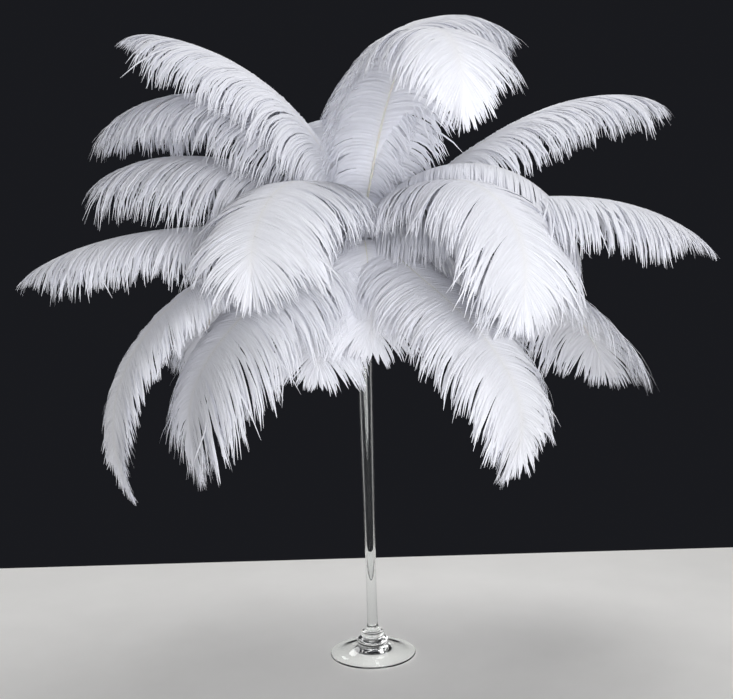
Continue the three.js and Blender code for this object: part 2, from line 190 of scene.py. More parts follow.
class SprayPlumeSizes(bpy.types.PropertyGroup):
    """Sizes and colours of the plumes."""

    spacing: FloatProperty(
        name="Barb Spacing", description="Distance between neighbouring barbs on the shaft",
        default=1.05 * MM, min=0.6 * MM, max=6 * MM, unit="LENGTH",
    )
    width: FloatProperty(
        name="Barb Width", description="Width of a barb with its down",
        default=2.7 * MM, min=0.4 * MM, max=6 * MM, unit="LENGTH",
    )
    thickness: FloatProperty(
        name="Barb Thickness", description="Thickness of a barb as a share of its width",
        default=0.14, min=0.05, max=1, subtype="FACTOR",
    )
    lock_width: FloatProperty(
        name="Lock Width", description="Length of shaft whose barbs hang as one lock",
        default=5.2 * MM, min=2 * MM, max=30 * MM, unit="LENGTH",
    )
    lock_pull: FloatProperty(
        name="Lock Pull", description="How far the barbs of a lock close up at their tips",
        default=0.44, min=0, max=1, subtype="FACTOR",
    )
    ruffle: FloatProperty(
        name="Ruffle", description="How far barbs stray from their even curve",
        default=1.0, min=0, max=3, subtype="FACTOR",
    )
    seed: IntProperty(name="Seed", description="Start of the random numbers", default=7, min=0)
    white: FloatVectorProperty(
        name="White", description="Colour of the barbs", subtype="COLOR",
        size=3, min=0, max=1, default=(0.85, 0.86, 0.925),
    )
    ivory: FloatVectorProperty(
        name="Ivory", description="Colour of the quills", subtype="COLOR",
        size=3, min=0, max=1, default=(0.80, 0.78, 0.63),
    )


class SprayStageSettings(bpy.types.PropertyGroup):
    """Floor, lights and camera."""

    floor: FloatVectorProperty(
        name="Floor", description="Colour of the floor", subtype="COLOR",
        size=3, min=0, max=1, default=(0.86, 0.85, 0.83),
    )
    dusk: FloatVectorProperty(
        name="Surroundings", description="Colour behind the object", subtype="COLOR",
        size=3, min=0, max=1, default=(0.010, 0.0105, 0.013),
    )
    key: FloatProperty(
        name="Key Light", description="Power of the main soft light in watts",
        default=16, min=0, max=500,
    )
    front: FloatProperty(
        name="Front Light", description="Power of the broad light from the front in watts",
        default=70, min=0, max=500,
    )
    fill: FloatProperty(
        name="Fill Light",
        description="Power of the soft light from above in watts; one at the low left is weaker",
        default=28, min=0, max=500,
    )
    back: FloatProperty(
        name="Back Light", description="Power of the soft light on the far side in watts",
        default=34, min=0, max=500,
    )
    edge: FloatProperty(
        name="Edge Lights", description="Power of the low lights that draw the glass's edges",
        default=1.0, min=0, max=50,
    )
    lens: FloatProperty(
        name="Lens", description="Focal length in millimetres on a 36 mm sensor",
        default=58.94, min=20, max=200,
    )


# ---------------------------------------------------------------- nodes


def add_node(tree, kind, inputs=None, **settings):
    """Adds a node. Inputs maps a socket's name or number to a socket or a plain value."""
    node = tree.nodes.new(kind)
    for name, value in settings.items():
        setattr(node, name, value)
    for key, value in (inputs or {}).items():
        if isinstance(value, bpy.types.NodeSocket):
            tree.links.new(value, node.inputs[key])
        else:
            node.inputs[key].default_value = value
    return node


def add_sockets(tree, in_out, sockets):
    """Declares a node group's sockets from (name, socket type, default) triples."""
    for name, kind, default in sockets:
        socket = tree.interface.new_socket(name, in_out=in_out, socket_type=kind)
        if default is not None:
            socket.default_value = default


def named_value(tree, name, kind):
    """The field of a named attribute."""
    return add_node(
        tree, "GeometryNodeInputNamedAttribute", {"Name": name}, data_type=kind
    ).outputs["Attribute"]


def feather_tree():
    """Node group that gives centre lines their bodies: flat barbs and a round shaft."""
    tree = bpy.data.node_groups.new("Feather From Centre Lines", "GeometryNodeTree")
    add_sockets(tree, "INPUT", [
        ("Centre Lines", "NodeSocketGeometry", None),
        ("Barb Thickness", "NodeSocketFloat", 0.14),
        ("Shaft Sides", "NodeSocketInt", 8),
        ("Barb Finish", "NodeSocketMaterial", None),
        ("Shaft Finish", "NodeSocketMaterial", None),
    ])
    add_sockets(tree, "OUTPUT", [("Feather", "NodeSocketGeometry", None)])
    given = add_node(tree, "NodeGroupInput").outputs
    on_shaft = named_value(tree, "on_shaft", "BOOLEAN")
    width = named_value(tree, "width", "FLOAT")
    lines = add_node(tree, "GeometryNodeSeparateGeometry", {
        "Geometry": given["Centre Lines"], "Selection": on_shaft,
    }).outputs

    # The barb's outline is a low triangle: a flat inner face and a slightly ridged outer one.
    corner = add_node(tree, "GeometryNodeInputIndex").outputs["Index"]
    outline = add_node(tree, "GeometryNodeCurvePrimitiveCircle", {"Resolution": 3, "Radius": 1.0})
    marked = add_node(tree, "GeometryNodeStoreNamedAttribute", {
        "Geometry": outline.outputs["Curve"], "Name": "outline_corner", "Value": corner,
    }, data_type="FLOAT", domain="POINT")
    thin = add_node(tree, "ShaderNodeMath", {
        0: given["Barb Thickness"], 1: 1 / 1.5,
    }, operation="MULTIPLY")
    flat = add_node(tree, "ShaderNodeCombineXYZ", {
        "X": thin.outputs[0], "Y": 1 / math.sqrt(3), "Z": 1.0,
    })
    outline = add_node(tree, "GeometryNodeTransform", {
        "Geometry": marked.outputs["Geometry"], "Scale": flat.outputs["Vector"],
    })
    curves = add_node(tree, "GeometryNodeMeshToCurve", {"Mesh": lines["Inverted"]})
    faced = add_node(tree, "GeometryNodeSetCurveNormal", {
        "Curve": curves.outputs["Curve"],
        "Normal": named_value(tree, "outward", "FLOAT_VECTOR"),
    }, mode="FREE")
    barbs = add_node(tree, "GeometryNodeCurveToMesh", {
        "Curve": faced.outputs["Curve"], "Profile Curve": outline.outputs["Geometry"],
        "Scale": width, "Fill Caps": True,
    })
    smooth = add_node(tree, "GeometryNodeSetShadeSmooth", {
        "Geometry": barbs.outputs["Mesh"], "Shade Smooth": True,
    }, domain="FACE")
    # The three edges that run along a barb stay crisp.
    ends = add_node(tree, "GeometryNodeInputMeshEdgeVertices").outputs
    corners = [
        add_node(tree, "GeometryNodeFieldAtIndex", {
            "Value": named_value(tree, "outline_corner", "FLOAT"), "Index": ends[name],
        }, domain="POINT", data_type="FLOAT").outputs["Value"]
        for name in ("Vertex Index 1", "Vertex Index 2")
    ]
    lengthwise = add_node(tree, "FunctionNodeCompare", {
        0: corners[0], 1: corners[1],
    }, data_type="FLOAT", operation="EQUAL")
    crisp = add_node(tree, "GeometryNodeSetShadeSmooth", {
        "Geometry": smooth.outputs["Geometry"], "Selection": lengthwise.outputs["Result"],
        "Shade Smooth": False,
    }, domain="EDGE")

    round_outline = add_node(tree, "GeometryNodeCurvePrimitiveCircle", {
        "Resolution": given["Shaft Sides"], "Radius": 1.0,
    })
    shaft_line = add_node(tree, "GeometryNodeMeshToCurve", {"Mesh": lines["Selection"]})
    shaft = add_node(tree, "GeometryNodeCurveToMesh", {
        "Curve": shaft_line.outputs["Curve"], "Profile Curve": round_outline.outputs["Curve"],
        "Scale": width, "Fill Caps": True,
    })
    round_shaft = add_node(tree, "GeometryNodeSetShadeSmooth", {
        "Geometry": shaft.outputs["Mesh"], "Shade Smooth": True,
    }, domain="FACE")

    joined = add_node(tree, "GeometryNodeJoinGeometry")
    tree.links.new(crisp.outputs["Geometry"], joined.inputs["Geometry"])
    tree.links.new(round_shaft.outputs["Geometry"], joined.inputs["Geometry"])
    real = add_node(tree, "GeometryNodeRealizeInstances", {
        "Geometry": joined.outputs["Geometry"],
    })
    white = add_node(tree, "GeometryNodeSetMaterial", {
        "Geometry": real.outputs["Geometry"], "Material": given["Barb Finish"],
    })
    ivory = add_node(tree, "GeometryNodeSetMaterial", {
        "Geometry": white.outputs["Geometry"], "Selection": on_shaft,
        "Material": given["Shaft Finish"],
    })
    add_node(tree, "NodeGroupOutput", {"Feather": ivory.outputs["Geometry"]})
    return tree


# ---------------------------------------------------------------- finishes


def fibre_group():
    """Shader group: streaks that run along a fibre, from its place, reach and own number."""
    tree = bpy.data.node_groups.new("Fibre Streaks", "ShaderNodeTree")
    add_sockets(tree, "INPUT", [
        ("Fibre", "NodeSocketVector", None),
        ("Across", "NodeSocketFloat", 900.0),
        ("Along", "NodeSocketFloat", 30.0),
        ("Down", "NodeSocketFloat", 900.0),
    ])
    add_sockets(tree, "OUTPUT", [
        ("Streak", "NodeSocketFloat", None), ("Height", "NodeSocketFloat", None),
    ])
    given = add_node(tree, "NodeGroupInput").outputs
    part = add_node(tree, "ShaderNodeSeparateXYZ", {"Vector": given["Fibre"]}).outputs

    def scaled(socket, factor):
        return add_node(tree, "ShaderNodeMath", {0: socket, 1: factor},
                        operation="MULTIPLY").outputs[0]

    streak_place = add_node(tree, "ShaderNodeCombineXYZ", {
        "X": scaled(part["X"], given["Across"]), "Y": scaled(part["Y"], given["Along"]),
        "Z": scaled(part["Z"], 40.0),
    })
    streak = add_node(tree, "ShaderNodeTexNoise", {
        "Vector": streak_place.outputs["Vector"], "Scale": 1.0, "Detail": 2.0,
    })
    down_place = add_node(tree, "ShaderNodeCombineXYZ", {
        "X": scaled(part["X"], given["Down"]), "Y": scaled(part["Y"], given["Down"]),
        "Z": scaled(part["Z"], 40.0),
    })
    down = add_node(tree, "ShaderNodeTexNoise", {
        "Vector": down_place.outputs["Vector"], "Scale": 1.0, "Detail": 1.0,
    })
    add_node(tree, "NodeGroupOutput", {
        "Streak": streak.outputs[0], "Height": down.outputs[0],
    })
    return tree


def new_material(name):
    """A material with only a Principled BSDF and its output, both empty of links."""
    material = bpy.data.materials.new(name)
    material.use_nodes = True
    tree = material.node_tree
    tree.nodes.clear()
    shader = add_node(tree, "ShaderNodeBsdfPrincipled")
    add_node(tree, "ShaderNodeOutputMaterial", {"Surface": shader.outputs["BSDF"]})
    return material, tree, shader


def blend_colours(tree, amount, first, second):
    """A colour that goes from first to second, each a socket or a plain RGB."""
    node = add_node(tree, "ShaderNodeMix", {"Factor": amount}, data_type="RGBA")
    for key, value in ((6, first), (7, second)):
        if isinstance(value, bpy.types.NodeSocket):
            tree.links.new(value, node.inputs[key])
        else:
            node.inputs[key].default_value = (*value, 1)
    return node.outputs[2]


def remap(tree, value, low, high, new_low, new_high):
    """A value moved from one range to another, and held inside it."""
    return add_node(tree, "ShaderNodeMapRange", {
        "Value": value, "From Min": low, "From Max": high, "To Min": new_low, "To Max": new_high,
    }).outputs[0]


def fibre_nodes(tree, streaks, across, along, down):
    """The fibre attribute's parts and its streaks."""
    fibre = add_node(tree, "ShaderNodeAttribute", attribute_name="fibre").outputs["Vector"]
    part = add_node(tree, "ShaderNodeSeparateXYZ", {"Vector": fibre}).outputs
    group = add_node(tree, "ShaderNodeGroup", node_tree=streaks)
    for key, value in (("Across", across), ("Along", along), ("Down", down)):
        group.inputs[key].default_value = value
    tree.links.new(fibre, group.inputs["Fibre"])
    return part, group.outputs


def white_down(sizes, streaks):
    """Soft white barbs: cool at their ends, and at the shaft a little yellower and darker, partly
    their ivory and partly painted shade.
    """
    material, tree, shader = new_material("white_down")
    part, streak = fibre_nodes(tree, streaks, across=700, along=25, down=1400)
    white = Vector(sizes.white)
    streaked = blend_colours(
        tree, remap(tree, streak["Streak"], 0.3, 0.7, 0, 1), white * 0.93, white * 1.03)
    # Near the shaft the barbs turn yellower and a little darker: partly their own ivory, partly
    # painted shade in the groove along the shaft.
    at_root = remap(tree, part["Y"], 0.0, 0.014, 0.8, 0)
    ivory_and_painted_shade = (white.x * 0.97, white.y * 0.96, white.z * 0.93)
    rooted = blend_colours(tree, at_root, streaked, ivory_and_painted_shade)
    tree.links.new(rooted, shader.inputs["Base Color"])
    tree.links.new(remap(tree, streak["Streak"], 0, 1, 0.62, 0.85), shader.inputs["Roughness"])
    bump = add_node(tree, "ShaderNodeBump", {
        "Height": streak["Height"], "Strength": 0.35, "Distance": 0.3 * MM,
    })
    tree.links.new(bump.outputs["Normal"], shader.inputs["Normal"])
    shader.inputs["Specular IOR Level"].default_value = 0.3
    shader.inputs["Sheen Weight"].default_value = 0.3
    shader.inputs["Sheen Roughness"].default_value = 0.5
    return material


def ivory_quill(sizes, streaks):
    """Horny quill: ivory below, whiter along the shaft, with fine lengthwise lines."""
    material, tree, shader = new_material("ivory_quill")
    part, streak = fibre_nodes(tree, streaks, across=60, along=60, down=300)
    ivory = Vector(sizes.ivory)
    lined = blend_colours(
        tree, remap(tree, streak["Streak"], 0.35, 0.65, 0, 1), ivory * 0.88, ivory * 1.04)
    pale = blend_colours(tree, remap(tree, part["X"], 0.15, 0.55, 0, 0.75), lined, sizes.white)
    tree.links.new(pale, shader.inputs["Base Color"])
    tree.links.new(remap(tree, streak["Streak"], 0, 1, 0.28, 0.45), shader.inputs["Roughness"])
    bump = add_node(tree, "ShaderNodeBump", {
        "Height": streak["Height"], "Strength": 0.15, "Distance": 0.1 * MM,
    })
    tree.links.new(bump.outputs["Normal"], shader.inputs["Normal"])
    shader.inputs["Subsurface Weight"].default_value = 0.15
    shader.inputs["Subsurface Scale"].default_value = 1 * MM
    return material


def drawn_glass(sizes):
    """Clear blown glass: a faint lengthwise waviness and a few soft smears."""
    material, tree, shader = new_material("drawn_glass")
    place = add_node(tree, "ShaderNodeTexCoord").outputs["Object"]
    stretched = add_node(tree, "ShaderNodeMapping", {"Vector": place, "Scale": (90, 90, 6)})
    waves = add_node(tree, "ShaderNodeTexNoise", {
        "Vector": stretched.outputs["Vector"], "Scale": 1.0, "Detail": 1.0,
    })
    bump = add_node(tree, "ShaderNodeBump", {
        "Height": waves.outputs[0], "Strength": 0.12, "Distance": 0.5 * MM,
    })
    smears = add_node(tree, "ShaderNodeTexNoise", {"Vector": place, "Scale": 22, "Detail": 3})
    tree.links.new(remap(tree, smears.outputs[0], 0.45, 0.75, 0.0, 0.04), shader.inputs["Roughness"])
    tree.links.new(bump.outputs["Normal"], shader.inputs["Normal"])
    shader.inputs["Base Color"].default_value = (*sizes.tint, 1)
    shader.inputs["IOR"].default_value = 1.5
    shader.inputs["Transmission Weight"].default_value = 1.0
    return material


def matt_floor(colour):
    """Pale matt floor with a faint mottle, whose front is painted nearly black where glass mirrors
    it.
    """
    material, tree, shader = new_material("matt_floor")
    place = add_node(tree, "ShaderNodeTexCoord").outputs["Object"]
    mottle = add_node(tree, "ShaderNodeTexNoise", {"Vector": place, "Scale": 9, "Detail": 4})
    base = Vector(colour)
    tinted = blend_colours(
        tree, remap(tree, mottle.outputs[0], 0.3, 0.7, 0, 1), base * 0.98, base * 1.02)
    # The floor paints a dark reflection into the glass: where the glass mirrors the front of the
    # floor, its colour is painted nearly black, so that the tube stays clear before the dark. Light
    # that went through the glass met an even number of surfaces, mirrored light an odd one.
    path = add_node(tree, "ShaderNodeLightPath").outputs
    odd = add_node(tree, "ShaderNodeMath", {0: path["Ray Depth"], 1: 2.0}, operation="MODULO")
    mirrored = add_node(tree, "ShaderNodeMath", {
        0: odd.outputs[0], 1: path["Is Glossy Ray"],
    }, operation="MULTIPLY")
    part = add_node(tree, "ShaderNodeSeparateXYZ", {"Vector": place}).outputs
    painted_dark_reflection = add_node(tree, "ShaderNodeMath", {
        0: mirrored.outputs[0], 1: remap(tree, part["Y"], 0.0, 0.25, 1, 0),
    }, operation="MULTIPLY")
    # Painted dark reflection: nearly black where the glass mirrors the floor's front.
    seen = blend_colours(tree, painted_dark_reflection.outputs[0], tinted, base * 0.06)
    tree.links.new(seen, shader.inputs["Base Color"])
    shader.inputs["Roughness"].default_value = 0.7
    return material


# ---------------------------------------------------------------- vase


def tube_radius(sizes, height):
    """Outer radius of the tube and its flare."""
    flare_start = 0.7 * sizes.height
    opening = np.clip((height - flare_start) / (sizes.height - flare_start), 0, None)
    return sizes.tube_radius + 0.0095 * (height - 120 * MM) + sizes.flare * opening**2.6


def arc(centre, radius, first, last, steps):
    """Points on a circle between two angles in degrees."""
    angles = np.radians(np.linspace(first, last, steps))
    return [
        (centre[0] + radius * math.cos(a), centre[1] + radius * math.sin(a)) for a in angles
    ]


def vase_outline(sizes):
    """The outline that is turned into the vase, from the foot's middle round to the hollow's."""
    foot = sizes.foot_radius
    edge = 1.4 * MM  # radius of the foot's rounded edge
    dish = foot - 5 * MM
    points = [(dish * share, sizes.dish * (1 - share**2) ** 1.6) for share in np.linspace(0, 1, 12)]
    points += arc((foot - edge, edge), edge, -95, 95, 11)
    for share in np.linspace(0.04, 1, 13):
        radius = foot - 1.2 * MM + share * (22.3 * MM - foot)
        points.append((radius, 2.4 * MM + 12 * MM * share**2.4))
    # Two collars with a groove between them, and the stem that thins away from them.
    points += arc((18.5 * MM, 19.5 * MM), 5.5 * MM, -50, 70, 13)
    points += [(15.9 * MM, 25 * MM), (15.6 * MM, 25.3 * MM)]
    points += arc((12 * MM, 30.4 * MM), 6 * MM, -54, 66, 13)
    points += [(11.3 * MM, 37.2 * MM), (9.6 * MM, 39.6 * MM), (8.6 * MM, 43.5 * MM)]
    points += [(8.1 * MM, 50 * MM), (7.8 * MM, 66 * MM), (7.65 * MM, 95 * MM)]
    # The tube outside, its lip, the tube inside, and the round end of the hollow.
    rim = sizes.height
    heights = np.concatenate([
        np.linspace(120 * MM, 0.7 * rim, 12), np.linspace(0.7 * rim, rim - 1.3 * MM, 26)[1:],
    ])
    outside = [(float(tube_radius(sizes, z)), z) for z in heights]
    lip = arc((outside[-1][0] - sizes.wall / 2, rim - 1.3 * MM), sizes.wall / 2, 10, 170, 9)
    inside = [(r - sizes.wall, z) for r, z in outside if z > 155 * MM]
    top = tube_radius(sizes, 150 * MM) - sizes.wall
    taper = [
        (top * math.sqrt(share), 115 * MM + 35 * MM * share)
        for share in (1, 0.8, 0.6, 0.42, 0.27, 0.15, 0.07, 0.02, 0)
    ]
    return points + outside + lip + inside[::-1] + taper


def turned_mesh(name, outline, sides):
    """Turns an outline of (radius, height) points round the Z axis into a closed mesh."""
    verts, rows = [], []
    for radius, height in outline:
        if radius < 1e-6:
            rows.append([len(verts)] * sides)
            verts.append((0, 0, height))
            continue
        rows.append(list(range(len(verts), len(verts) + sides)))
        for k in range(sides):
            a = 2 * math.pi * k / sides
            verts.append((radius * math.cos(a), radius * math.sin(a), height))
    faces = []
    for low, high in zip(rows, rows[1:]):
        for k in range(sides):
            n = (k + 1) % sides
            corners = [low[k], low[n], high[n], high[k]]
            faces.append(list(dict.fromkeys(corners)))
    mesh = bpy.data.meshes.new(name)
    mesh.from_pydata(verts, [], faces)
    mesh.shade_smooth()
    return mesh


class SPRAY_OT_vase(bpy.types.Operator):
    """Make the glass vase: foot, collars, stem, tube and flare in one piece"""

    bl_idname = "spray.vase"
    bl_label = "Glass Vase"

    def execute(self, context):
        sizes = context.scene.spray_vase
        mesh = turned_mesh("vase_glass", vase_outline(sizes), sizes.sides)
        mesh.materials.append(drawn_glass(sizes))
        piece = bpy.data.objects.new("vase_glass", mesh)
        piece.visible_shadow = False  # clear glass leaves the light on the floor as it is
        context.scene.collection.objects.link(piece)
        finish_piece(piece, "vase")
        return {"FINISHED"}


def finish_piece(piece, node):
    """Checks that a piece has a body, and gives it its place in the frame."""
    if len(piece.data.polygons) == 0:
        raise RuntimeError(f"{piece.name} came out empty")
    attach(piece, BODY)
    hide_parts(node)


# ---------------------------------------------------------------- plumes


def ease(x):
    x = np.clip(x, 0, 1)
    return x * x * (3 - 2 * x)


def unit(vectors):
    return vectors / np.maximum(np.linalg.norm(vectors, axis=-1, keepdims=True), 1e-9)


class Shaft:
    """The curve of a plume's quill and shaft, from its foot in the vase to its tip."""

    def __init__(self, ring, plume, rim):
        radius, height, rise = RINGS[ring]["seat"]
        given = dict(zip(PLUME_FIELDS, plume))
        for name, value in given.items():
            setattr(self, name, value)
        self.length *= MM
        self.barb *= MM
        self.seat = rim - height * MM
        self.along = np.arange(0, self.length + 1e-6, SHAFT_STEP)
        free = np.clip((self.along - self.seat) / (self.length - self.seat), 0, None)
        leaning = self.lean + (self.fall - self.lean) * free**self.bend
        elevation = np.radians(rise + (leaning - rise) * ease((self.along - self.seat) / NECK))
        azimuth = np.radians(self.bearing + self.swing * free)
        level = np.stack([np.cos(azimuth), np.sin(azimuth), 0 * azimuth], 1)
        up = np.array([0, 0, 1])
        self.forward = level * np.cos(elevation)[:, None] + up * np.sin(elevation)[:, None]
        self.face = -level * np.sin(elevation)[:, None] + up * np.cos(elevation)[:, None]
        foot = math.radians(self.foot)
        start = np.array([radius * math.cos(foot), radius * math.sin(foot), height]) * MM
        self.place = start + np.vstack([[0, 0, 0], np.cumsum(self.forward[:-1], 0) * SHAFT_STEP])
        self.first = self.seat + FIRST_BARB

    def at(self, along):
        """Place, direction, sideways direction and outer face at these lengths."""
        place, forward, face = (
            np.stack([np.interp(along, self.along, values[:, k]) for k in range(3)], 1)
            for values in (self.place, self.forward, self.face)
        )
        forward, face = unit(forward), unit(face)
        return place, forward, np.cross(forward, face), face

    def radius(self, along):
        spots = [0, self.seat, self.first, self.length]
        return np.interp(
            along, spots, [QUILL_RADIUS, QUILL_RADIUS, SHAFT_RADIUS, SHAFT_TIP_RADIUS])

    def vane(self, along):
        """Share of the vane below each length."""
        return np.clip((along - self.first) / (self.length - self.first), 0, 1)

    def barb_length(self, along):
        vane = self.vane(along)
        widening = self.base + (1 - self.base) * ease(vane / WIDENING)
        return self.barb * widening * np.interp(vane, [0, HANG_CHANGE, 1], [1, 1, TIP_SHARE])

    def barb_sweep(self, along):
        sweeps = [BASE_SWEEP, self.sweep, self.sweep * 0.85, TIP_SWEEP]
        return np.radians(np.interp(self.vane(along), [0, 0.5, 0.9, 1], sweeps))

    def barb_paths(self, along, side, length, sweep, hang, lift):
        """Curves that leave the shaft at their sweep and turn more and more to the ground."""
        place, forward, sideways, face = self.at(along)
        place = place + face * lift
        start = forward * np.cos(sweep)[:, None] + sideways * (side * np.sin(sweep))[:, None]
        ground = unit(np.array([0, 0, -1.0]) + SPREAD * side * sideways)
        reach = np.clip((start * ground).sum(1), -1, 1)
        turn = np.maximum(hang * np.arccos(reach), 1e-3)
        across = unit(ground - start * reach[:, None])
        share = (np.arange(FINE_STEPS) + 0.5) / FINE_STEPS
        angle = LATE_TURN * turn[:, None] * share**TURN_POWER
        ahead, down = (
            np.hstack([np.zeros((len(along), 1)), np.cumsum(way, 1)[:, FINE - 1::FINE]]) / FINE_STEPS
            for way in (np.cos(angle), np.sin(angle))
        )
        reach = ahead[..., None] * start[:, None] + down[..., None] * across[:, None]
        return place[:, None] + length[:, None, None] * reach


def lock_centres(roots, width, rng):
    """Puts the roots into locks of uneven width; gives each root's lock and the lock's middle."""
    span = roots.max() - roots.min()
    edges = roots.min() + np.cumsum(rng.uniform(0.55, 1.45, int(span / width * 1.6) + 4)) * width
    lock = np.searchsorted(edges, roots)
    middles = np.array([roots[lock == k].mean() if np.any(lock == k) else 0
                        for k in range(lock.max() + 1)])
    return lock, middles


def barb_hang(vane):
    """Share of the way to straight down that a barb turns, from its place on the vane."""
    late = np.clip((vane - HANG_CHANGE) / (1 - HANG_CHANGE), 0, 1)
    return HANG + (TIP_HANG - HANG) * late


def vane_faces(shaft, side, roots):
    """The way that the vane's own surface looks along each barb."""
    even = np.linspace(shaft.first, shaft.length, 160)
    surface = shaft.barb_paths(
        even, side, shaft.barb_length(even), shaft.barb_sweep(even),
        barb_hang(shaft.vane(even)), 0)
    outward = side * unit(np.cross(np.gradient(surface, axis=1), np.gradient(surface, axis=0)))
    spot = np.interp(roots, even, np.arange(len(even)))
    below = np.minimum(spot.astype(int), len(even) - 2)
    part = (spot - below)[:, None, None]
    return unit(outward[below] * (1 - part) + outward[below + 1] * part)


def barbs_on_side(shaft, side, sizes, rng):
    """Middle lines, outward directions, widths and fibre numbers of one half of a vane."""
    count = int((shaft.length - shaft.first) / sizes.spacing)
    share = np.linspace(0, 1, BARB_POINTS)
    roots = np.linspace(shaft.first, shaft.length, count)
    roots = np.clip(roots + rng.uniform(-0.4, 0.4, count) * sizes.spacing, shaft.first, shaft.length)
    roots.sort()
    hang = barb_hang(shaft.vane(roots))
    ruffle = sizes.ruffle

    def paths(along, length_factor, sweep_turn, hang_extra, lift):
        return shaft.barb_paths(
            along, side, shaft.barb_length(along) * length_factor,
            shaft.barb_sweep(along) + sweep_turn, np.clip(hang + hang_extra, 0.1, 1.1), lift)

    # Each barb starts on its own line and closes up towards its lock's and its bunch's.
    lift = (shaft.radius(roots) * 0.8)[:, None]
    lock, middles = lock_centres(roots, sizes.lock_width, rng)
    bunch, bunch_middles = lock_centres(roots, sizes.lock_width * BUNCH_WIDTH, rng)
    locks, bunches = len(middles), len(bunch_middles)
    lock_long = rng.normal(1, LOCK_VARIES["long"] * ruffle, locks)[lock]
    lock_turn = rng.normal(0, LOCK_VARIES["turn"] * ruffle, locks)[lock]
    lock_hang = rng.normal(0, LOCK_VARIES["hang"] * ruffle, locks)[lock]
    bunch_long = rng.normal(1, BUNCH_VARIES["long"] * ruffle, bunches)[bunch]
    bunch_turn = rng.normal(0, BUNCH_VARIES["turn"] * ruffle, bunches)[bunch]
    off_middle = (roots - middles[lock]) / sizes.lock_width
    own_long = rng.normal(1, BARB_VARIES["long"] * ruffle, count) * (1 - 0.2 * np.abs(off_middle))
    long = np.clip(lock_long * bunch_long * own_long, 0.5, 1.12)
    own_turn = rng.normal(0, BARB_VARIES["turn"] * ruffle, count)
    own = paths(roots, long, lock_turn + own_turn, lock_hang, lift)
    to_lock = paths(middles[lock], long, lock_turn, lock_hang, lift)
    to_bunch = paths(bunch_middles[bunch], long, bunch_turn, lock_hang, lift)
    stray = rng.random(count) < STRAY_SHARE
    pull = np.where(stray, 0.0, sizes.lock_pull)[:, None] * ease((share - 0.55) / 0.6)
    lines = own + (to_lock - own) * pull[..., None]
    bunch_pull = np.where(stray, 0.0, BUNCH_PULL)[:, None] * ease((share - 0.75) / 0.5)
    lines = lines + (to_bunch - lines) * bunch_pull[..., None]

    # Barbs lie in layers, their tips curl inwards, and they sway and hook to the sides.
    outward = vane_faces(shaft, side, roots)
    reach = (shaft.barb_length(roots) * long)[:, None]
    layer = rng.normal(0, LAYER_DEPTH, count)[:, None] * ease(share / 0.4)
    curl = (rng.normal(0.03, 0.035, count) * ruffle)[:, None] * ease((share - 0.55) / 0.45)**2
    curl = curl + (rng.normal(0, 0.015, locks) * ruffle)[lock][:, None] * share**2
    lines = lines + outward * (layer - curl * reach)[..., None]
    heading = unit(np.gradient(lines, axis=1))
    edgeways = np.cross(heading, outward)
    sway = (rng.normal(0, 0.012, count) * ruffle)[:, None] * np.sin(
        share * rng.uniform(3, 6, count)[:, None] + rng.uniform(0, 6, count)[:, None]) * share
    sway = sway + (rng.normal(0, 0.13, count) * stray)[:, None] * share**2
    hook = rng.normal(0, 0.022, locks)[lock] + rng.normal(0, 0.012, count)
    sway = sway + (hook * ruffle)[:, None] * ease((share - 0.65) / 0.5)
    lines = lines + edgeways * (sway * reach)[..., None]

    # A barb's broad side follows the vane and turns a little about the barb.
    heading = unit(np.gradient(lines, axis=1))
    roll = rng.normal(0, 0.08, count)[:, None] + rng.normal(0, 0.5, count)[:, None] * share**4
    roll = roll + (side * 0.55 * off_middle)[:, None]
    outward = unit(outward - heading * (outward * heading).sum(-1, keepdims=True))
    outward = (outward * np.cos(roll)[..., None]
               + np.cross(heading, outward) * np.sin(roll)[..., None])
    shape = np.interp(share, [0, 0.1, 0.45, 0.75, 0.9, 1], [0.7, 1, 1.3, 0.95, 0.55, 0.12])
    width = sizes.width * shape * rng.uniform(0.8, 1.15, count)[:, None]
    fibre = np.stack([
        np.broadcast_to(roots[:, None], width.shape), reach * share,
        np.broadcast_to(rng.random(count)[:, None], width.shape),
    ], -1)
    return lines, outward, width, fibre


def clear_of_vase(points, vase):
    """Barbs that would pass through the vase's mouth or tube lie against its outside."""
    distance = np.hypot(points[..., 0], points[..., 1])
    height = points[..., 2]
    wall = tube_radius(vase, np.minimum(height, vase.height)) + 2 * MM
    inside = (height < vase.height + 2 * MM) & (distance < wall)
    push = np.where(inside, wall / np.maximum(distance, 1e-4), 1.0)
    moved = points.copy()
    moved[..., 0] *= push
    moved[..., 1] *= push
    return moved


